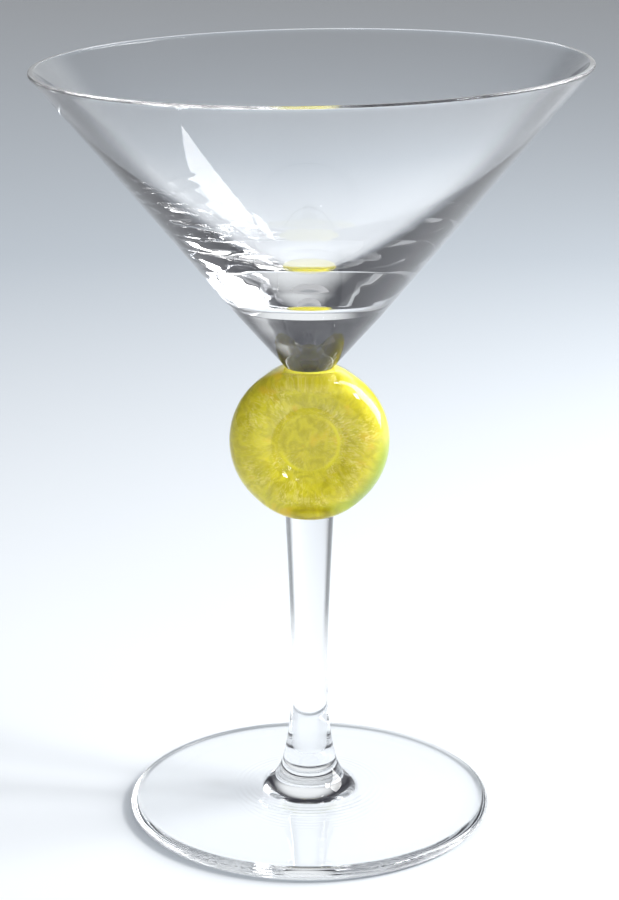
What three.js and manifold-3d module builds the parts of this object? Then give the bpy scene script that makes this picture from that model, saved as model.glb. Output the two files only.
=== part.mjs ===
// Stemmed cocktail glass: a clear conical bowl on a yellow glass disc that stands on edge,
// a waisted clear stem and a round clear foot, fused end to end.
// Millimetres, +Z up. The foot stands on z = 0, and the disc's faces look along -Y and +Y.

import * as THREE from "three";
import { mergeVertices } from "three/addons/utils/BufferGeometryUtils.js";
import Module from "manifold-3d";

const wasm = await Module();
wasm.setup();

// Foot
const footRadius = 41.4;
const footEdgeThickness = 3.2;
const footEdgeReach = 2.4; // how far in from the rim the edge is rounded
const footRestWidth = 4; // flat ring that the glass stands on
const footHollowDepth = 1.2; // rise of the underside inside that ring
const footShoulderRadius = 12.5; // where the plate turns up into the boss
const footShoulderHeight = 5;
const footHeight = 12; // top of the boss, where the stem sits

// Stem
const stemLength = 59.1;
const stemBaseRadius = 6.1;
const stemBaseFlare = 0.235; // growth of the radius per millimetre down, at the lower joint
const stemFlareHeight = 8.5; // height over which the stem spreads to its base
const stemWaistRadius = 4.1;
const stemWaistHeight = 22; // above the stem's lower end
const stemTaperHeight = 11; // height above the waist where the taper to the top begins
const stemTopRadius = 5.45;

// Disc
const discRadius = 17.9;
const discThickness = 14; // through the raised ring
const discRingWidth = 11.6; // radial width of the raised ring
const discWebThickness = 6.4; // of the closed centre
const casingThickness = 1.8; // clear glass over the coloured core
const corePostRadius = 3; // the core reaches both joints through round posts
const coreGap = 0.3;

// Bowl
const mouthRadius = 60.6;
const bowlHeight = 67.75;
const bowlBaseRadius = 5.4;
const bowlFloorThickness = 18.1; // solid glass under the inside
const lipWall = 1.6; // level thickness of the wall at the lip
const lipRound = 0.4; // rounding of the lip's two edges
const floorWall = 10.2; // level thickness of the wall at the floor
const wallPower = 3.3; // how late the wall thickens on its way down
const floorCorner = 3; // reach of the round corner over the floor
const neckHeight = 12; // lowest stretch of the outside, a little steeper than the cone
const neckPinch = 0.7; // how far it is drawn in at the joint

// Heights, from the table up
const stemTop = footHeight + stemLength;
const discCentre = stemTop + Math.sqrt(discRadius ** 2 - stemTopRadius ** 2);
const bowlBase = discCentre + Math.sqrt(discRadius ** 2 - bowlBaseRadius ** 2);
const rimHeight = bowlBase + bowlHeight;
const floorHeight = bowlBase + bowlFloorThickness;

// Fineness of the faceted surfaces
const turnSteps = 64;
const discSteps = 48;
const curveSteps = 5;
const wallSteps = 10;
const mergeDistance = 1e-4;

const clearGlass = new THREE.MeshStandardMaterial({
  color: 0xeef3f4,
  roughness: 0.03,
  metalness: 0,
  transparent: true,
  opacity: 0.35,
});
const yellowGlass = new THREE.MeshStandardMaterial({
  color: 0xc3bc3a,
  roughness: 0.15,
  metalness: 0,
});

// Turns an outline of (radius, height) points about Z
function turned(outline) {
  const geometry = new THREE.LatheGeometry(outline.getPoints(curveSteps), turnSteps);
  return geometry.rotateX(Math.PI / 2);
}

// A closed geometry as a solid that can be joined and cut
function solidOf(geometry) {
  geometry.deleteAttribute("normal");
  geometry.deleteAttribute("uv");
  const merged = mergeVertices(geometry, mergeDistance);
  const corners = merged.index.array;
  const triangles = [];
  for (let i = 0; i < corners.length; i += 3) {
    const [a, b, c] = corners.slice(i, i + 3);
    if (a !== b && b !== c && c !== a) {
      triangles.push(a, b, c);
    }
  }
  return new wasm.Manifold(new wasm.Mesh({
    numProp: 3,
    vertProperties: merged.attributes.position.array,
    triVerts: Uint32Array.from(triangles),
  }));
}

function geometryOf(solid) {
  const mesh = solid.getMesh();
  const geometry = new THREE.BufferGeometry();
  geometry.setAttribute("position", new THREE.BufferAttribute(mesh.vertProperties, 3));
  geometry.setIndex(new THREE.BufferAttribute(mesh.triVerts, 1));
  geometry.computeVertexNormals();
  return geometry;
}

// An upright round post between two heights
function post(radius, low, high) {
  const outline = new THREE.Path();
  outline.moveTo(0, low);
  outline.lineTo(radius, low);
  outline.lineTo(radius, high);
  outline.lineTo(0, high);
  return solidOf(turned(outline));
}

// Round plate with an oval edge, a hollow underside and a boss that meets the stem
function footGeometry() {
  const edgeHeight = footEdgeThickness / 2;
  const restOuter = footRadius - footEdgeReach;
  const restInner = restOuter - footRestWidth;
  const bossRise = footHeight - footShoulderHeight;
  const handle = bossRise / 2;
  const outline = new THREE.Path();
  outline.moveTo(0, footHollowDepth);
  outline.quadraticCurveTo(restInner / 2, footHollowDepth, restInner, 0);
  outline.lineTo(restOuter, 0);
  outline.absellipse(
    restOuter, edgeHeight, footEdgeReach, edgeHeight, -Math.PI / 2, Math.PI / 2, false,
  );
  outline.lineTo(footShoulderRadius, footShoulderHeight);
  outline.bezierCurveTo(
    (footShoulderRadius + stemBaseRadius) / 2, footShoulderHeight,
    stemBaseRadius + stemBaseFlare * handle, footHeight - handle,
    stemBaseRadius, footHeight,
  );
  outline.lineTo(0, footHeight);
  return turned(outline);
}

// Solid rod, spread at its base, narrow at the waist and wider again under the disc
function stemGeometry() {
  const waist = footHeight + stemWaistHeight;
  const outline = new THREE.Path();
  outline.moveTo(0, footHeight);
  outline.lineTo(stemBaseRadius, footHeight);
  outline.bezierCurveTo(
    stemBaseRadius - stemBaseFlare * stemFlareHeight / 2, footHeight + stemFlareHeight / 2,
    stemWaistRadius, footHeight + stemFlareHeight,
    stemWaistRadius, waist,
  );
  outline.quadraticCurveTo(stemWaistRadius, waist + stemTaperHeight, stemTopRadius, stemTop);
  outline.lineTo(0, stemTop);
  return turned(outline);
}

// The disc's doughnut with its closed centre, drawn in by inset all over, turned about Y
function discDoughnut(inset) {
  const ringMiddle = discRadius - discRingWidth / 2;
  const halfWidth = discRingWidth / 2 - inset;
  const halfThickness = discThickness / 2 - inset;
  const halfWeb = discWebThickness / 2 - inset;
  const webAngle = Math.asin(halfWeb / halfThickness);
  const webRadius = ringMiddle - halfWidth * Math.cos(webAngle);
  const outline = new THREE.Path();
  outline.moveTo(0, -halfWeb);
  outline.lineTo(webRadius, -halfWeb);
  outline.absellipse(
    ringMiddle, 0, halfWidth, halfThickness, Math.PI + webAngle, 3 * Math.PI - webAngle, false,
  );
  outline.lineTo(0, halfWeb);
  const geometry = new THREE.LatheGeometry(outline.getPoints(2 * curveSteps), discSteps);
  return solidOf(geometry.translate(0, 0, discCentre));
}

// The doughnut with a post to each joint, cut level at the joints
function discBody(inset, lowerPostRadius, upperPostRadius) {
  const ringMiddle = discRadius - discRingWidth / 2;
  const jointSpan = bowlBase - stemTop;
  const beyondDisc = 3 * discRadius;
  const between = new THREE.BoxGeometry(beyondDisc, beyondDisc, jointSpan);
  between.translate(0, 0, stemTop + jointSpan / 2);
  return discDoughnut(inset)
    .add(post(lowerPostRadius, stemTop, discCentre - ringMiddle))
    .add(post(upperPostRadius, discCentre + ringMiddle, bowlBase))
    .intersect(solidOf(between));
}

function discCoreGeometry() {
  return geometryOf(discBody(casingThickness, corePostRadius, corePostRadius));
}

function discCasingGeometry() {
  const openingRadius = corePostRadius + coreGap;
  const outside = discBody(0, stemTopRadius, bowlBaseRadius);
  const hollow = discBody(casingThickness - coreGap, openingRadius, openingRadius);
  return geometryOf(outside.subtract(hollow));
}

// Straight-sided cone with a level lip and a slightly drawn-in neck. Its wall thickens towards a flat floor.
function bowlGeometry() {
  const lipOutside = new THREE.Vector2(mouthRadius - lipRound, rimHeight - lipRound);
  const coneBaseRadius = bowlBaseRadius + neckPinch;
  const baseToLip = lipOutside.clone().sub(new THREE.Vector2(coneBaseRadius, bowlBase));
  const lean = Math.atan2(baseToLip.x, baseToLip.y) + Math.asin(lipRound / baseToLip.length());
  const slope = Math.tan(lean);
  const lipInsideRadius = lipOutside.x - lipWall + 2 * lipRound / Math.cos(lean);

  function innerRadius(height) {
    const depth = (rimHeight - height) / (rimHeight - floorHeight);
    const wall = lipWall + (floorWall - lipWall) * depth ** wallPower;
    return coneBaseRadius + slope * (height - bowlBase) - wall;
  }

  const outline = new THREE.Path();
  outline.moveTo(0, bowlBase);
  outline.lineTo(bowlBaseRadius, bowlBase);
  outline.lineTo(coneBaseRadius + slope * neckHeight, bowlBase + neckHeight);
  outline.absarc(lipOutside.x, lipOutside.y, lipRound, -lean, Math.PI / 2, false);
  outline.absarc(lipInsideRadius, lipOutside.y, lipRound, Math.PI / 2, Math.PI - lean, false);
  const wallTop = outline.currentPoint.y;
  const wallEnd = floorHeight + floorCorner / 2;
  for (let step = 1; step <= wallSteps; step += 1) {
    const height = wallTop + (wallEnd - wallTop) * step / wallSteps;
    outline.lineTo(innerRadius(height), height);
  }
  const cornerRadius = innerRadius(floorHeight);
  outline.quadraticCurveTo(cornerRadius, floorHeight, cornerRadius - floorCorner, floorHeight);
  outline.lineTo(0, floorHeight);
  return turned(outline);
}

function piece(name, geometry, material) {
  const mesh = new THREE.Mesh(geometry, material);
  mesh.name = name;
  return mesh;
}

const glass = new THREE.Group();
glass.add(
  piece("foot", footGeometry(), clearGlass),
  piece("stem", stemGeometry(), clearGlass),
  piece("disc_core", discCoreGeometry(), yellowGlass),
  piece("disc_casing", discCasingGeometry(), clearGlass),
  piece("bowl", bowlGeometry(), clearGlass),
);

export default glass;
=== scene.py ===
"""Looks of the cocktail glass: clear hand-blown glass and a mottled yellow disc, on a pale studio floor."""

import math

import bmesh
import bpy
from mathutils import Matrix, Vector


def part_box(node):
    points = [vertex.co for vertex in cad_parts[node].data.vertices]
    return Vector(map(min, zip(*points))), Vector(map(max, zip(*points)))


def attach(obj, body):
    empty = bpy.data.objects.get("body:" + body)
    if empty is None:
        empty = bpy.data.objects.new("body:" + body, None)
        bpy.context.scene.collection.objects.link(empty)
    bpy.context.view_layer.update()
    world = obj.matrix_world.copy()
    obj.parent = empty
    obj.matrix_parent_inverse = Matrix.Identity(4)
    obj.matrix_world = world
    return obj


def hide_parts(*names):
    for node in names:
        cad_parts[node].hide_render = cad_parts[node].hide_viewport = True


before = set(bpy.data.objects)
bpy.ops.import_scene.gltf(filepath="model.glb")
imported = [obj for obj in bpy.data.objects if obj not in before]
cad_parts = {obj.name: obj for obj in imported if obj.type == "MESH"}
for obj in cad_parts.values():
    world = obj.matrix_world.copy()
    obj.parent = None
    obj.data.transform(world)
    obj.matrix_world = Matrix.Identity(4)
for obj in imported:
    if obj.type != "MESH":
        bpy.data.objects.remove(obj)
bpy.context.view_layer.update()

MM = 0.001
WHITE = (1, 1, 1)

# Sizes and places from the frame, in metres
FOOT_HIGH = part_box("foot")[1]
STEM_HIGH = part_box("stem")[1]
DISC_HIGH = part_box("disc_casing")[1]
CORE_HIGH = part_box("disc_core")[1]
BOWL_LOW, BOWL_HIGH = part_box("bowl")

FOOT_RADIUS = FOOT_HIGH.x
FOOT_TOP = FOOT_HIGH.z
STEM_BASE_RADIUS = STEM_HIGH.x
STEM_TOP = STEM_HIGH.z
DISC_RADIUS = DISC_HIGH.x
DISC_HALF_THICKNESS = DISC_HIGH.y
CASING_THICKNESS = DISC_RADIUS - CORE_HIGH.x
MOUTH_RADIUS = BOWL_HIGH.x
BOWL_BASE = BOWL_LOW.z
RIM_TOP = BOWL_HIGH.z

# Forms that the frame's boxes don't give
FOOT_EDGE_THICKNESS = 3.2 * MM
FOOT_EDGE_REACH = 2.4 * MM  # how far in from the rim the edge is rounded
FOOT_REST_WIDTH = 4 * MM
FOOT_HOLLOW_DEPTH = 1.2 * MM
FOOT_SHOULDER_RADIUS = 12.5 * MM  # where the plate turns up into the boss
FOOT_SHOULDER_HEIGHT = 5 * MM
STEM_BASE_FLARE = 0.235  # growth of the radius per unit down, at the lower joint
STEM_FLARE_HEIGHT = 8.5 * MM
STEM_WAIST_RADIUS = 4.1 * MM
STEM_WAIST_HEIGHT = 22 * MM  # above the stem's lower end
STEM_TAPER_HEIGHT = 11 * MM  # above the waist, where the taper to the top begins
STEM_TOP_RADIUS = 5.45 * MM
DISC_RING_WIDTH = 11.6 * MM
DISC_WEB_THICKNESS = 6.4 * MM  # of the closed centre
CASING_SHOULDER = 5 * MM  # height over which the disc widens to a round joint
CORE_HALF_THICKNESS = 3.6 * MM
CORE_HALF_WEB = 2.6 * MM
CORE_SWELL = (0.8, 0.97)  # shares of the way up or down the disc where the core begins to swell and is full
CORE_SKIN = 0.15 * MM  # clear glass left over the core near the joints
CORE_SHOULDER = 1.5 * MM
BOWL_BASE_RADIUS = 5.4 * MM
BOWL_FLOOR_THICKNESS = 18.1 * MM
LIP_WALL = 1.6 * MM
LIP_ROUND = 0.4 * MM
FLOOR_WALL = 10.2 * MM
WALL_POWER = 3.3  # how late the wall thickens on its way down
FLOOR_CORNER = 3 * MM
NECK_HEIGHT = 12 * MM
NECK_PINCH = 0.7 * MM

DISC_CENTRE = STEM_TOP + math.sqrt(DISC_RADIUS ** 2 - STEM_TOP_RADIUS ** 2)
RING_MIDDLE = DISC_RADIUS - DISC_RING_WIDTH / 2
FLOOR_TOP = BOWL_BASE + BOWL_FLOOR_THICKNESS

# Marks of hand work
LIP_SLANT = Vector((-0.75, 0, 2.1)) * MM  # from the lip's left end to its place on a level lip
WALL_MARK_TOP = BOWL_BASE + 46.8 * MM  # level from which the wall's tool marks are counted down
WALL_MARK_FIRST = 9.4 * MM  # distance of the first mark below that level
WALL_MARK_RATIO = 1.29  # growth of the distance from mark to mark
WALL_MARK_COUNT = 5
WALL_MARK_WIDTH = 0.05  # share of the distance
WALL_MARK_SLOPE = 0.16  # depth as a share of the width
WALL_MARK_SIDE = (0.45, 0.85)  # shares of the way to the left where the marks begin and are full
FOOT_WAVE_RADIUS = 15.5 * MM
FOOT_WAVE_SPREAD = 2.5 * MM
FOOT_WAVE_LENGTH = 1.3 * MM
FOOT_WAVE_DEPTH = 0.03 * MM

# Fineness of the meshes
TOLERANCE = 1e-7  # points closer than this are one
TURN_STEPS = 192
NECK_STEPS = 16
CONE_STEPS = 60
LIP_STEPS = 10
WALL_STEPS = 320
FLOOR_CORNER_STEPS = 20
LEVEL_STEPS = 8  # across the bowl's floor and the disc's closed centre
RING_STEPS = 96
STEM_STEPS = 40  # below the waist, and again above it
HOLLOW_STEPS = 24
FOOT_EDGE_STEPS = 32
FOOT_TOP_STEPS = 90
BOSS_STEPS = 30

# Clear glass
GLASS_IOR = 1.5
WAVE_SCALE = 45  # fineness of the noise, per metre, here and for the yellow glass
WAVE_STRENGTH = 0.02
WAVE_DEPTH = 0.2 * MM
HAZE_LEVELS = (0.55, 0.9)
HAZE_ROUGHNESS = 0.02
CLEAR_TINT = (0.98, 0.985, 0.99)
CASING_TINT = (0.98, 0.985, 0.93)
BOWL_RIM_PAINTED_SHADE = (0.17, 0.18, 0.2)  # painted shade: glass that turns away from the view is tinted dark, standing in for the dim room it would show
BOWL_RIM_PAINTED_SHADE_LEVELS = (0.56, 0.8)  # how far it turns away, 1 edge-on
# Painted shade on the stem's rims where it turns away from the view, standing in for the dim room it would
# show
STEM_RIM_PAINTED_SHADE = (0.09, 0.095, 0.1)
STEM_RIM_PAINTED_SHADE_LEVELS = (0.3, 0.52)
RIM_PAINTED_SHADE_FADE = (34 * MM, 52 * MM)  # heights between which the glass goes from showing the pale floor to the painted shade on its rims

# Share of the lamps' light that passes the glass
CLEAR_SHADOW = (0.97, 0.975, 0.98)
CASING_SHADOW = (0.95, 0.95, 0.85)
STEM_SHADOW = (0.2, 0.21, 0.23)
EDGE_SHADOW = (0.25, 0.27, 0.29)  # at the foot's round edge
EDGE_SHADOW_HEIGHTS = (2.4 * MM, 1.2 * MM)  # where that begins and is full

# Yellow glass
CORE_ROUGHNESS = 0.35
CORE_SCATTER = 3 * MM
CORE_SCATTER_COLOURS = (1, 0.9, 0.25)
FEATHER_LENGTH = 2 * MM
FEATHER_COUNT = 72  # round the disc
FEATHER_CURL = 1.0
FEATHER_DETAIL = 4
FEATHER_LEVELS = (0.47, 0.85)
FEATHER_RELIEF = 0.15
FEATHER_DEPTH = 0.3 * MM
FLECK_FINENESS = 2.4  # flecks to a feather
FLECK_DETAIL = 3
FLECK_LEVELS = (0.47, 0.68)
CLUSTER_SCALE = 130
CLUSTER_DETAIL = 1
CLUSTER_LEVELS = (0.4, 0.6)
CLUSTER_LEAST = 0.15  # strength of the streaks between the clusters
# Painted highlight: a bright ring round the disc's centre, standing in for the light that the casing's inner
# corner catches; its radius also sets the centre's reach
PAINTED_RING_HIGHLIGHT_RADIUS = 6.6 * MM
PAINTED_RING_HIGHLIGHT_WIDTH = 0.9 * MM
CENTRE_REACH = (0.5 * PAINTED_RING_HIGHLIGHT_RADIUS, 1.3 * PAINTED_RING_HIGHLIGHT_RADIUS)
CENTRE_LEAST = 0.35  # strength of the streaks in the centre
STREAK_END = (0.9 * DISC_RADIUS, 0.75 * DISC_RADIUS)
MOTTLE_SCALE = 420
MOTTLE_DETAIL = 4
MOTTLE_CURL = 1
MOTTLE_LEVELS = (0.35, 0.65)
ORANGE_SCALE = 210
ORANGE_LEVELS = (0.58, 0.72)
ORANGE_MOST = 0.6
# Painted shade: a darker green on one side of the disc's edge, standing in for the clear casing's refraction
# there
GREEN_PAINTED_SHADE_SIDE = math.radians(-32)  # from the right, anticlockwise as seen in the photo
GREEN_PAINTED_SHADE_LEVELS = (0.6, 1)  # cosines of the angle from that side
GREEN_PAINTED_SHADE_REACH = (0.74 * DISC_RADIUS, 0.9 * DISC_RADIUS)
DISC_DEEP = (0.66, 0.59, 0.03)
DISC_YELLOW = (0.82, 0.75, 0.05)
DISC_ORANGE = (0.90, 0.66, 0.05)
DISC_PALE = (0.97, 0.88, 0.30)
# Painted highlight of the inner ring
DISC_RING_PAINTED_HIGHLIGHT = (0.95, 0.88, 0.06)
# Painted shade: the green on one side of the edge
DISC_GREEN_PAINTED_SHADE = (0.30, 0.42, 0.03)

# Floor, in metres: a pale sheet under and behind the glass, whose greying with distance is painted light
# falloff, on a pale grey table that is painted shade
FLOOR_SIZE = 60
FLOOR_DROP = 0.1 * MM  # kept clear of the foot's underside
FLOOR_ROUGHNESS = 0.9
SHEET_MIDDLE = 0.003
SHEET_HALF_WIDTH = 0.072
SHEET_SPREAD = 0.122  # growth of the half width per metre behind the glass
SHEET_FRONT = -0.063
SHEET_SOFTNESS = 0.1
SHEET_LENGTH = 2.4
SHEET_PAINTED_FALLOFF = (  # painted light falloff: share of the length behind the glass, and colour
    (0.04, (0.87, 0.91, 0.95)),
    (0.25, (0.62, 0.68, 0.74)),
    (0.71, (0.54, 0.565, 0.59)),
    (1, (0.93, 0.94, 0.95)),
)
# Painted shade: the grey beside the sheet stands in for the shade round a pool of light, and gives the glass
# its dark edges
TABLE_PAINTED_SHADE = (0.62, 0.64, 0.66)
TABLE_END = 0.75 * SHEET_LENGTH  # where the table's painted shade begins to fade into the far floor

# Lights: directions go from straight behind the glass towards the right, and up from level
LAMP_DISTANCE = 0.8
LAMP_SIDE = math.radians(79)
LAMP_RISE = math.radians(22)
LAMP_ROLL = math.radians(22)
LAMP_SIZE = (0.38, 0.70)
LAMP_RADIANCE = 10
SMALL_LAMP_SIDE = math.radians(112)
SMALL_LAMP_RISE = math.radians(35)
SMALL_LAMP_SIZE = (0.15, 0.14)
SMALL_LAMP_RADIANCE = 36
SKY_ANGLE = math.radians(120)
SKY_RADIANCE = 0.13  # of a white level surface, here and for the next two
KEY_SIDE = math.radians(97)
KEY_RISE = math.radians(40)
KEY_ANGLE = math.radians(8)
KEY_RADIANCE = 0.17
FILL_SIDE = math.radians(205)
FILL_RISE = math.radians(16)
FILL_ANGLE = math.radians(90)
FILL_RADIANCE = 0.12

# Room
ROOM_COLOUR = (0.05, 0.05, 0.06)
HORIZON_COLOUR = (0.16, 0.16, 0.17)
HORIZON_GLOW = math.radians(5)
BACKDROP_COLOUR = (0.92, 0.95, 0.97)
BACKDROP_SIDE = math.radians(5)
BACKDROP_RISE = math.radians(22)
BACKDROP_REACH = math.radians(32)  # from its middle to where it ends
BACKDROP_CORE = math.radians(10)  # from its middle to where it begins to fade

# Camera and light paths
CAMERA_PLACE = (0, -0.5187, 0.2424)
CAMERA_DOWN = math.radians(16.797)
CAMERA_LENS = 97.1
CAMERA_SENSOR = 36
GLASS_BOUNCES = 128
TRANSPARENT_BOUNCES = 32


def straight(start, end, steps):
    """Points from start up to, but not including, end."""
    return [start.lerp(end, i / steps) for i in range(steps)]


def oval_arc(centre, half_width, half_height, start, end, steps):
    """Points along an arc of an oval, angles in radians from the outline's radius axis."""
    angles = [start + (end - start) * i / steps for i in range(steps + 1)]
    return [centre + Vector((half_width * math.cos(a), half_height * math.sin(a))) for a in angles]


def bezier(handles, steps):
    """Points along a Bezier curve of any degree, both ends included."""
    degree = len(handles) - 1
    points = []
    for i in range(steps + 1):
        t = i / steps
        point = Vector((0, 0))
        for k, handle in enumerate(handles):
            point += math.comb(degree, k) * (1 - t) ** (degree - k) * t ** k * handle
        points.append(point)
    return points


def smooth_step(value, low, high):
    """Rises smoothly from 0 at low to 1 at high."""
    t = min(1, max(0, (value - low) / (high - low)))
    return t * t * (3 - 2 * t)


def piece(name, form):
    """A new object with smooth shading from a bmesh."""
    bmesh.ops.remove_doubles(form, verts=form.verts, dist=TOLERANCE)
    bmesh.ops.recalc_face_normals(form, faces=form.faces)
    mesh = bpy.data.meshes.new(name)
    form.to_mesh(mesh)
    form.free()
    mesh.shade_smooth()
    made = bpy.data.objects.new(name, mesh)
    bpy.context.scene.collection.objects.link(made)
    return made


def turned(name, outline, to_space):
    """A smooth surface of revolution. to_space places a radius, a height and an angle."""
    form = bmesh.new()
    rings = []
    for radius, height in outline:
        count = TURN_STEPS if radius > TOLERANCE else 1
        angles = [math.tau * i / TURN_STEPS for i in range(count)]
        rings.append([form.verts.new(to_space(radius, height, angle)) for angle in angles])
    for low, high in zip(rings, rings[1:]):
        for i in range(TURN_STEPS):
            j = i + 1
            corners = [low[i % len(low)], low[j % len(low)], high[j % len(high)], high[i % len(high)]]
            form.faces.new(dict.fromkeys(corners))
    return piece(name, form)


def upright(radius, height, angle):
    """Places a point of a form that is turned about Z."""
    return Vector((radius * math.cos(angle), radius * math.sin(angle), height))


def on_edge(radius, height, angle):
    """Places a point of the disc, whose axis lies along Y."""
    return Vector((radius * math.cos(angle), -height, DISC_CENTRE + radius * math.sin(angle)))


def lean_to_circle(point, centre, radius):
    """Angle from upright of the line from a point to the outer side of a circle."""
    across = centre - point
    return math.atan2(across.x, across.y) + math.asin(radius / across.length)


def wall_mark(height, angle):
    """Depth of the narrow ring-shaped tool marks in the left of the bowl's wall."""
    depth = 0
    for i in range(WALL_MARK_COUNT):
        below = WALL_MARK_FIRST * WALL_MARK_RATIO ** i
        width = WALL_MARK_WIDTH * below
        depth += WALL_MARK_SLOPE * width * math.exp(-((WALL_MARK_TOP - below - height) / width) ** 2)
    return depth * smooth_step(-math.cos(angle), *WALL_MARK_SIDE)


def make_bowl():
    """Cone with a round lip and a wall that thickens towards the floor, open below where it is fused."""
    base = Vector((BOWL_BASE_RADIUS, BOWL_BASE))
    cone_base = base + Vector((NECK_PINCH, 0))
    lip_outside = Vector((MOUTH_RADIUS - LIP_ROUND, RIM_TOP - LIP_ROUND))
    lean = lean_to_circle(cone_base, lip_outside, LIP_ROUND)
    lip_inside = lip_outside - Vector((LIP_WALL - 2 * LIP_ROUND / math.cos(lean), 0))

    def inside(height):
        """Point of the inner face, where the wall is thin at the lip and thickens towards the floor."""
        depth = (RIM_TOP - height) / (RIM_TOP - FLOOR_TOP)
        wall = LIP_WALL + (FLOOR_WALL - LIP_WALL) * depth ** WALL_POWER
        return Vector((cone_base.x + math.tan(lean) * (height - BOWL_BASE) - wall, height))

    def placed(radius, height, angle):
        """Place of a point of the outline, with the tool marks inside and the lip lower on the left."""
        if abs(radius - inside(height).x) < TOLERANCE:
            radius += wall_mark(height, angle)
        place = upright(radius, height, angle)
        rise = (height - BOWL_BASE) / (RIM_TOP - BOWL_BASE)
        return place - LIP_SLANT * rise ** 2 * (1 - place.x / MOUTH_RADIUS) / 2

    lip = oval_arc(lip_outside, LIP_ROUND, LIP_ROUND, -lean, math.pi / 2, LIP_STEPS)
    lip += oval_arc(lip_inside, LIP_ROUND, LIP_ROUND, math.pi / 2, math.pi - lean, LIP_STEPS)
    neck_top = cone_base + NECK_HEIGHT * Vector((math.tan(lean), 1))
    outside = straight(base, neck_top, NECK_STEPS) + straight(neck_top, lip[0], CONE_STEPS)

    wall_top = lip[-1].y
    drop = (wall_top - FLOOR_TOP - FLOOR_CORNER / 2) / WALL_STEPS
    wall = [inside(wall_top - i * drop) for i in range(1, WALL_STEPS + 1)]
    corner = inside(FLOOR_TOP)
    floor_edge = corner - Vector((FLOOR_CORNER, 0))
    rounding = bezier([wall[-1], corner, floor_edge], FLOOR_CORNER_STEPS)
    centre = Vector((0, FLOOR_TOP))
    floor = straight(floor_edge, centre, LEVEL_STEPS)[1:] + [centre]

    bowl = turned("bowl_glass", outside + lip + wall[:-1] + rounding + floor, placed)
    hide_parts("bowl")
    return bowl


def make_stem():
    """Waisted rod, open at both ends where it is fused."""
    waist = Vector((STEM_WAIST_RADIUS, FOOT_TOP + STEM_WAIST_HEIGHT))
    flare_middle = STEM_FLARE_HEIGHT / 2
    lower = bezier([
        Vector((STEM_BASE_RADIUS, FOOT_TOP)),
        Vector((STEM_BASE_RADIUS - STEM_BASE_FLARE * flare_middle, FOOT_TOP + flare_middle)),
        Vector((STEM_WAIST_RADIUS, FOOT_TOP + STEM_FLARE_HEIGHT)),
        waist,
    ], STEM_STEPS)
    upper = bezier([
        waist,
        waist + Vector((0, STEM_TAPER_HEIGHT)),
        Vector((STEM_TOP_RADIUS, STEM_TOP)),
    ], STEM_STEPS)
    stem = turned("stem_glass", lower[:-1] + upper, upright)
    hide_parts("stem")
    return stem


def foot_wave(radius):
    """Height of the faint rings that the shaping tool left round the boss."""
    near = math.exp(-((radius - FOOT_WAVE_RADIUS) / FOOT_WAVE_SPREAD) ** 2)
    return FOOT_WAVE_DEPTH * near * math.sin(math.tau * radius / FOOT_WAVE_LENGTH)


def make_foot():
    """Plate with an oval edge, a hollow underside and a boss, open on top where the stem is fused on."""
    rest_outer = FOOT_RADIUS - FOOT_EDGE_REACH
    rest_inner = rest_outer - FOOT_REST_WIDTH
    hollow = bezier([
        Vector((0, FOOT_HOLLOW_DEPTH)),
        Vector((rest_inner / 2, FOOT_HOLLOW_DEPTH)),
        Vector((rest_inner, 0)),
    ], HOLLOW_STEPS)

    half_edge = FOOT_EDGE_THICKNESS / 2
    middle = Vector((rest_outer, half_edge))
    rim = oval_arc(middle, FOOT_EDGE_REACH, half_edge, -math.pi / 2, math.pi / 2, FOOT_EDGE_STEPS)

    shoulder = Vector((FOOT_SHOULDER_RADIUS, FOOT_SHOULDER_HEIGHT))
    top = straight(rim[-1], shoulder, FOOT_TOP_STEPS)
    marked = [point + Vector((0, foot_wave(point.x))) for point in top]

    handle = (FOOT_TOP - FOOT_SHOULDER_HEIGHT) / 2
    boss = bezier([
        shoulder,
        Vector(((FOOT_SHOULDER_RADIUS + STEM_BASE_RADIUS) / 2, FOOT_SHOULDER_HEIGHT)),
        Vector((STEM_BASE_RADIUS + STEM_BASE_FLARE * handle, FOOT_TOP - handle)),
        Vector((STEM_BASE_RADIUS, FOOT_TOP)),
    ], BOSS_STEPS)
    foot = turned("foot_glass", hollow + rim + marked[1:] + boss, upright)
    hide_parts("foot")
    return foot


def doughnut_outline(half_width, half_thickness, half_web):
    """Half section of a doughnut with a closed centre, from the front of its centre to the back."""
    web_angle = math.asin(half_web / half_thickness)
    start = math.pi - web_angle
    ring = oval_arc(Vector((RING_MIDDLE, 0)), half_width, half_thickness, start, -start, RING_STEPS)
    front = straight(Vector((0, half_web)), ring[0], LEVEL_STEPS)
    back = straight(Vector((0, -half_web)), ring[-1], LEVEL_STEPS)
    return front + ring + back[::-1]


def round_joint(form, height, joint_radius, shoulder):
    """Cuts the disc level at a joint and widens it to a circle there, where the next piece goes on."""
    side = 1 if height > DISC_CENTRE else -1
    bmesh.ops.bisect_plane(
        form, geom=form.verts[:] + form.edges[:] + form.faces[:], dist=TOLERANCE,
        plane_co=Vector((0, 0, height)), plane_no=Vector((0, 0, side)), clear_outer=True)
    cut = [vert for vert in form.verts if abs(vert.co.z - height) < TOLERANCE]
    flare = joint_radius / max(vert.co.y for vert in cut) - 1
    for vert in form.verts:
        beyond = side * (vert.co.z - height)
        vert.co.y *= 1 + flare * smooth_step(beyond, -shoulder, 0)
    for vert in cut:
        vert.co.xy = vert.co.xy.normalized() * joint_radius


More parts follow.
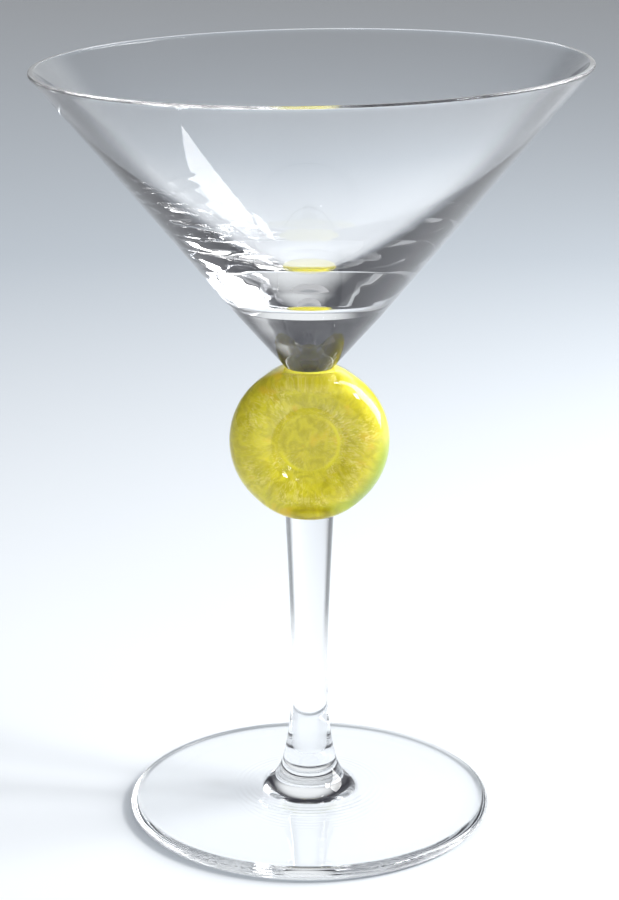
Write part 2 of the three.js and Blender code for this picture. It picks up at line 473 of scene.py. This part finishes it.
def disc_piece(name, outline, to_space, skin, shoulder, closed):
    """The disc's casing or core, cut level a skin away from the joints."""
    whole = turned(name, outline, to_space)
    form = bmesh.new()
    form.from_mesh(whole.data)
    round_joint(form, BOWL_BASE - skin, BOWL_BASE_RADIUS - skin, shoulder)
    round_joint(form, STEM_TOP + skin, STEM_TOP_RADIUS - skin, shoulder)
    if closed:
        bmesh.ops.holes_fill(form, edges=form.edges)
    form.to_mesh(whole.data)
    form.free()
    whole.data.shade_smooth()
    return whole


def make_casing():
    """Clear outside of the disc, open at both joints."""
    outline = doughnut_outline(DISC_RING_WIDTH / 2, DISC_HALF_THICKNESS, DISC_WEB_THICKNESS / 2)
    casing = disc_piece("disc_casing_glass", outline, on_edge, 0, CASING_SHOULDER, False)
    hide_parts("disc_casing")
    return casing


def core_place(radius, height, angle):
    """Places a point of the core, which swells out to the joints at the top and the bottom."""
    near_joint = smooth_step(abs(math.sin(angle)), *CORE_SWELL)
    swell = near_joint * smooth_step(radius, RING_MIDDLE / 2, RING_MIDDLE)
    grown = 1 + swell * (CASING_THICKNESS - CORE_SKIN) / (DISC_RADIUS - CASING_THICKNESS)
    return on_edge(radius * grown, height * grown, angle)


def make_core():
    """Yellow inside of the disc, closed all round."""
    half_width = DISC_RING_WIDTH / 2 - CASING_THICKNESS
    outline = doughnut_outline(half_width, CORE_HALF_THICKNESS, CORE_HALF_WEB)
    core = disc_piece("disc_core_glass", outline, core_place, CORE_SKIN, CORE_SHOULDER, True)
    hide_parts("disc_core")
    return core


class Nodes:
    """Shader nodes of a material or a world. A value is a number, a vector, a colour or a node's output."""

    def __init__(self, owner):
        owner.use_nodes = True
        self.owner = owner
        self.tree = owner.node_tree
        self.tree.nodes.clear()

    def add(self, kind, **settings):
        node = self.tree.nodes.new("ShaderNode" + kind)
        for name, setting in settings.items():
            setattr(node, name, setting)
        return node

    def feed(self, target, value):
        """Links an input to a node's output, or gives it a value of its own."""
        if isinstance(value, bpy.types.NodeSocket):
            self.tree.links.new(value, target)
        elif target.type == "RGBA":
            target.default_value = (*value, 1)
        else:
            target.default_value = value

    def math(self, operation, first, second=0):
        """The result of an operation on one or two numbers."""
        node = self.add("Math", operation=operation)
        self.feed(node.inputs[0], first)
        self.feed(node.inputs[1], second)
        return node.outputs["Value"]

    def vector(self, operation, first, second=(0, 0, 0)):
        """The result of an operation on one or two vectors."""
        node = self.add("VectorMath", operation=operation)
        self.feed(node.inputs[0], first)
        self.feed(node.inputs[1], second)
        return node.outputs["Value" if operation in ("LENGTH", "DOT_PRODUCT") else "Vector"]

    def axes(self, place):
        """A vector's three numbers, by the names X, Y and Z."""
        node = self.add("SeparateXYZ")
        self.feed(node.inputs["Vector"], place)
        return node.outputs

    def noise(self, place, scale, detail=2, distortion=0):
        node = self.add("TexNoise")
        self.feed(node.inputs["Vector"], place)
        self.feed(node.inputs["Scale"], scale)
        self.feed(node.inputs["Detail"], detail)
        self.feed(node.inputs["Distortion"], distortion)
        return node.outputs["Fac"]

    def ranged(self, value, low, high, out_low=0, out_high=1):
        """A smooth change from out_low to out_high while a value goes from low to high."""
        node = self.add("MapRange", interpolation_type="SMOOTHSTEP")
        self.feed(node.inputs["Value"], value)
        self.feed(node.inputs["From Min"], low)
        self.feed(node.inputs["From Max"], high)
        self.feed(node.inputs["To Min"], out_low)
        self.feed(node.inputs["To Max"], out_high)
        return node.outputs["Result"]

    def mix(self, factor, first, second):
        """A blend of two colours."""
        node = self.add("Mix", data_type="RGBA")
        inputs = {socket.identifier: socket for socket in node.inputs}
        self.feed(inputs["Factor_Float"], factor)
        self.feed(inputs["A_Color"], first)
        self.feed(inputs["B_Color"], second)
        outputs = {socket.identifier: socket for socket in node.outputs}
        return outputs["Result_Color"]

    def ramp(self, value, stops):
        """A colour that passes through stops, each a position from 0 to 1 and a colour."""
        node = self.add("ValToRGB")
        self.feed(node.inputs["Fac"], value)
        elements = node.color_ramp.elements
        while len(elements) < len(stops):
            elements.new(1)
        for element, (position, colour) in zip(elements, stops):
            element.position = position
            element.color = (*colour, 1)
        return node.outputs["Color"]

    def bump(self, height, strength, distance):
        node = self.add("Bump")
        self.feed(node.inputs["Strength"], strength)
        self.feed(node.inputs["Distance"], distance)
        self.feed(node.inputs["Height"], height)
        return node.outputs["Normal"]

    def surface(self, shader, output="OutputMaterial"):
        self.feed(self.add(output).inputs["Surface"], shader)


def foot_edge(made, place):
    """1 on the lower half of the foot's round edge, which leads light away inside the plate, else 0."""
    radius = made.vector("LENGTH", made.vector("MULTIPLY", place, (1, 1, 0)))
    outer = made.ranged(radius, FOOT_RADIUS - FOOT_EDGE_REACH, FOOT_RADIUS - FOOT_EDGE_REACH / 2)
    low = made.ranged(made.axes(place)["Z"], *EDGE_SHADOW_HEIGHTS)
    return made.math("MULTIPLY", outer, low)


def clear_glass(name, tint, shadow, rim_painted_shade, rim_painted_shade_levels):
    """Clear glass with faint waves and a rim tint where it turns edge-on, which is painted shade when the
    tint is dark, that lets lamp light through for the shadow it throws.
    """
    made = Nodes(bpy.data.materials.new(name))
    place = made.add("TexCoord").outputs["Object"]
    cloud = made.noise(place, WAVE_SCALE)
    # Painted shade: the base colour darkens where the glass turns edge-on, above the heights where it shows
    # the pale floor
    turned_away = made.ranged(made.add("LayerWeight").outputs["Facing"], *rim_painted_shade_levels)
    above_floor = made.ranged(made.axes(place)["Z"], *RIM_PAINTED_SHADE_FADE)
    rim = made.math("MULTIPLY", turned_away, above_floor)

    shader = made.add("BsdfPrincipled")
    made.feed(shader.inputs["Base Color"], made.mix(rim, made.mix(cloud, tint, WHITE), rim_painted_shade))
    made.feed(shader.inputs["Roughness"], made.ranged(cloud, *HAZE_LEVELS, 0, HAZE_ROUGHNESS))
    made.feed(shader.inputs["IOR"], GLASS_IOR)
    made.feed(shader.inputs["Transmission Weight"], 1)
    made.feed(shader.inputs["Normal"], made.bump(cloud, WAVE_STRENGTH, WAVE_DEPTH))

    through = made.add("BsdfTransparent")
    made.feed(through.inputs["Color"], made.mix(foot_edge(made, place), shadow, EDGE_SHADOW))
    path = made.add("LightPath")
    spread = made.math("MAXIMUM", path.outputs["Is Shadow Ray"], path.outputs["Is Diffuse Ray"])
    either = made.add("MixShader")
    made.feed(either.inputs["Fac"], spread)
    made.feed(either.inputs[1], shader.outputs["BSDF"])
    made.feed(either.inputs[2], through.outputs["BSDF"])
    made.surface(either.outputs["Shader"])
    return made.owner


def yellow_glass():
    """Mottled yellow glass, with pale feathers out from the disc's centre, a bright ring of painted highlight
    round the centre and a green touch of painted shade at its edge.
    """
    made = Nodes(bpy.data.materials.new("yellow_glass"))
    place = made.vector("SUBTRACT", made.add("TexCoord").outputs["Object"], (0, 0, DISC_CENTRE))
    flat = made.vector("MULTIPLY", place, (1, 0, 1))
    radius = made.vector("LENGTH", flat)
    outward = made.vector("NORMALIZE", flat)

    # Streaks: quick change round the disc, slow change along the radius
    along = made.add("CombineXYZ")
    made.feed(along.inputs["Y"], made.math("DIVIDE", radius, FEATHER_LENGTH))
    round_disc = made.vector("MULTIPLY", outward, (FEATHER_COUNT / math.tau,) * 3)
    streak_place = made.vector("ADD", round_disc, along.outputs["Vector"])
    feathers = made.noise(streak_place, 1, FEATHER_DETAIL, FEATHER_CURL)
    flecks = made.noise(streak_place, FLECK_FINENESS, FLECK_DETAIL, FEATHER_CURL)
    pale_feathers = made.ranged(feathers, *FEATHER_LEVELS)
    pale_flecks = made.ranged(flecks, *FLECK_LEVELS)
    streaks = made.math("MAXIMUM", pale_feathers, pale_flecks)

    # Where the streaks show: in clusters, fainter in the centre and not at the edge
    cloud = made.noise(place, CLUSTER_SCALE, CLUSTER_DETAIL)
    clusters = made.ranged(cloud, *CLUSTER_LEVELS, CLUSTER_LEAST, 1)
    beyond_centre = made.ranged(radius, *CENTRE_REACH, CENTRE_LEAST, 1)
    within_edge = made.ranged(radius, *STREAK_END)
    where = made.math("MULTIPLY", clusters, made.math("MULTIPLY", beyond_centre, within_edge))
    pale = made.math("MULTIPLY", streaks, where)

    # Other colours: mottled yellow, orange touches, a bright inner ring that is a painted highlight and a
    # green edge that is painted shade
    mottle = made.ranged(made.noise(place, MOTTLE_SCALE, MOTTLE_DETAIL, MOTTLE_CURL), *MOTTLE_LEVELS)
    orange = made.ranged(made.noise(place, ORANGE_SCALE), *ORANGE_LEVELS, 0, ORANGE_MOST)
    # Painted highlight: a bright ring round the centre, where the casing's inner corner would catch the light
    from_painted_ring_highlight = made.math("ABSOLUTE", made.math("SUBTRACT", radius, PAINTED_RING_HIGHLIGHT_RADIUS))
    ring = made.math("MULTIPLY", made.ranged(from_painted_ring_highlight, PAINTED_RING_HIGHLIGHT_WIDTH, 0), clusters)
    # Painted shade: darker green on one side of the edge, where the clear casing's refraction would show it
    green_side = (math.cos(GREEN_PAINTED_SHADE_SIDE), 0, math.sin(GREEN_PAINTED_SHADE_SIDE))
    facing_green = made.ranged(made.vector("DOT_PRODUCT", outward, green_side), *GREEN_PAINTED_SHADE_LEVELS)
    green = made.math("MULTIPLY", facing_green, made.ranged(radius, *GREEN_PAINTED_SHADE_REACH))
    colour = made.mix(mottle, DISC_DEEP, DISC_YELLOW)
    for share, tone in ((orange, DISC_ORANGE), (pale, DISC_PALE), (ring, DISC_RING_PAINTED_HIGHLIGHT), (green, DISC_GREEN_PAINTED_SHADE)):
        colour = made.mix(share, colour, tone)

    shader = made.add("BsdfPrincipled")
    made.feed(shader.inputs["Base Color"], colour)
    made.feed(shader.inputs["Roughness"], CORE_ROUGHNESS)
    made.feed(shader.inputs["Subsurface Weight"], 1)
    made.feed(shader.inputs["Subsurface Radius"], CORE_SCATTER_COLOURS)
    made.feed(shader.inputs["Subsurface Scale"], CORE_SCATTER)
    made.feed(shader.inputs["Normal"], made.bump(feathers, FEATHER_RELIEF, FEATHER_DEPTH))
    made.surface(shader.outputs["BSDF"])
    return made.owner


def dress(thing, material):
    """Gives a piece its material, and lets it ride on the only body."""
    thing.data.materials.append(material)
    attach(thing, "root")


def floor_material():
    """A sheet that is white round the glass and greyer behind it as painted light falloff, with soft edges on
    a pale grey table of painted shade.
    """
    made = Nodes(bpy.data.materials.new("pale_floor"))
    place = made.axes(made.add("TexCoord").outputs["Object"])
    behind = made.math("MAXIMUM", place["Y"], 0)
    half_width = made.math("ADD", made.math("MULTIPLY", behind, SHEET_SPREAD), SHEET_HALF_WIDTH)
    across = made.math("ABSOLUTE", made.math("SUBTRACT", place["X"], SHEET_MIDDLE))
    beside = made.math("SUBTRACT", across, half_width)
    before = made.math("SUBTRACT", SHEET_FRONT, place["Y"])
    outside = made.ranged(made.math("MAXIMUM", beside, before), 0, SHEET_SOFTNESS)
    # Painted shade beside the sheet, and painted light falloff along it as it greys behind the glass
    in_table_painted_shade = made.math("MULTIPLY", made.ranged(behind, SHEET_LENGTH, TABLE_END), outside)
    sheet = made.ramp(made.math("DIVIDE", behind, SHEET_LENGTH), SHEET_PAINTED_FALLOFF)

    shader = made.add("BsdfPrincipled")
    made.feed(shader.inputs["Base Color"], made.mix(in_table_painted_shade, sheet, TABLE_PAINTED_SHADE))
    made.feed(shader.inputs["Roughness"], FLOOR_ROUGHNESS)
    made.feed(shader.inputs["Specular IOR Level"], 0)
    made.surface(shader.outputs["BSDF"])
    return made.owner


def make_floor():
    bpy.ops.mesh.primitive_plane_add(size=FLOOR_SIZE, location=(0, 0, -FLOOR_DROP))
    floor = bpy.context.object
    floor.name = "floor"
    floor.data.materials.append(floor_material())


def towards(side, rise):
    """Direction from the glass, by an angle from straight behind it to the right and one above level."""
    return Vector((math.sin(side) * math.cos(rise), math.cos(side) * math.cos(rise), math.sin(rise)))


def make_world():
    """A dim room with a bright backdrop behind the glass."""
    world = bpy.data.worlds.new("studio")
    bpy.context.scene.world = world
    made = Nodes(world)
    direction = made.add("TexCoord").outputs["Generated"]
    low = made.ranged(made.axes(direction)["Z"], math.sin(HORIZON_GLOW), 0)
    room = made.mix(low, ROOM_COLOUR, HORIZON_COLOUR)
    facing = made.vector("DOT_PRODUCT", direction, towards(BACKDROP_SIDE, BACKDROP_RISE))
    glow = made.ranged(facing, math.cos(BACKDROP_REACH), math.cos(BACKDROP_CORE))
    background = made.add("Background")
    made.feed(background.inputs["Color"], made.mix(glow, room, BACKDROP_COLOUR))
    made.surface(background.outputs["Background"], "OutputWorld")


def add_light(name, light, facing, roll=0):
    """A light that shines along a direction, rolled about it."""
    lit = bpy.data.objects.new(name, light)
    bpy.context.scene.collection.objects.link(lit)
    turn = facing.to_track_quat("-Z", "Y").to_matrix() @ Matrix.Rotation(roll, 3, "Z")
    lit.rotation_euler = turn.to_euler()
    return lit


def add_lamp(name, direction, roll, size, radiance):
    """A soft lamp in a direction from the bowl's floor."""
    lamp = bpy.data.lights.new(name, "AREA")
    lamp.shape = "RECTANGLE"
    lamp.size, lamp.size_y = size
    lamp.energy = radiance * math.pi * lamp.size * lamp.size_y
    lit = add_light(name, lamp, -direction, roll)
    lit.location = Vector((0, 0, FLOOR_TOP)) + LAMP_DISTANCE * direction
    lit.visible_camera = False


def add_far_light(name, direction, angle, radiance):
    """Soft light from far off that the glass doesn't mirror. The radiance is a white level surface's."""
    light = bpy.data.lights.new(name, "SUN")
    light.energy = radiance * math.pi / direction.z
    light.angle = angle
    lit = add_light(name, light, -direction)
    lit.visible_glossy = False
    lit.visible_transmission = False


def make_lights():
    """Two soft lamps on the right that the glass mirrors, and soft light from far off that it doesn't."""
    add_lamp("soft_lamp", towards(LAMP_SIDE, LAMP_RISE), LAMP_ROLL, LAMP_SIZE, LAMP_RADIANCE)
    small = towards(SMALL_LAMP_SIDE, SMALL_LAMP_RISE)
    add_lamp("small_lamp", small, 0, SMALL_LAMP_SIZE, SMALL_LAMP_RADIANCE)

    add_far_light("sky_light", Vector((0, 0, 1)), SKY_ANGLE, SKY_RADIANCE)
    add_far_light("key_light", towards(KEY_SIDE, KEY_RISE), KEY_ANGLE, KEY_RADIANCE)
    add_far_light("front_fill", towards(FILL_SIDE, FILL_RISE), FILL_ANGLE, FILL_RADIANCE)


def make_camera():
    """The photo's viewing angle and frame."""
    camera = bpy.data.cameras.new("camera")
    camera.sensor_width = CAMERA_SENSOR
    camera.lens = CAMERA_LENS
    seen = bpy.data.objects.new("camera", camera)
    bpy.context.scene.collection.objects.link(seen)
    tilt = Matrix.Rotation(math.pi / 2 - CAMERA_DOWN, 4, "X")
    seen.matrix_world = Matrix.Translation(CAMERA_PLACE) @ tilt
    bpy.context.scene.camera = seen


def set_light_paths():
    """Paths long enough for thick glass, without the specks that caustics leave."""
    cycles = bpy.context.scene.cycles
    cycles.max_bounces = GLASS_BOUNCES
    cycles.transmission_bounces = GLASS_BOUNCES
    cycles.glossy_bounces = GLASS_BOUNCES
    cycles.transparent_max_bounces = TRANSPARENT_BOUNCES
    cycles.caustics_reflective = False
    cycles.caustics_refractive = False


# Clear pieces are open where they are fused, so that light passes as in one lump of glass
bowl = make_bowl()
casing = make_casing()
core = make_core()
stem = make_stem()
foot = make_foot()

plain_glass = clear_glass("plain_clear_glass", CLEAR_TINT, CLEAR_SHADOW, BOWL_RIM_PAINTED_SHADE, BOWL_RIM_PAINTED_SHADE_LEVELS)
stem_glass = clear_glass("stem_clear_glass", CLEAR_TINT, STEM_SHADOW, STEM_RIM_PAINTED_SHADE, STEM_RIM_PAINTED_SHADE_LEVELS)
casing_glass = clear_glass("casing_glass", CASING_TINT, CASING_SHADOW, CASING_TINT, BOWL_RIM_PAINTED_SHADE_LEVELS)
dress(bowl, plain_glass)
dress(foot, plain_glass)
dress(stem, stem_glass)
dress(casing, casing_glass)
dress(core, yellow_glass())

make_floor()
make_world()
make_lights()
make_camera()
set_light_paths()
bpy.context.scene.view_settings.view_transform = "Standard"
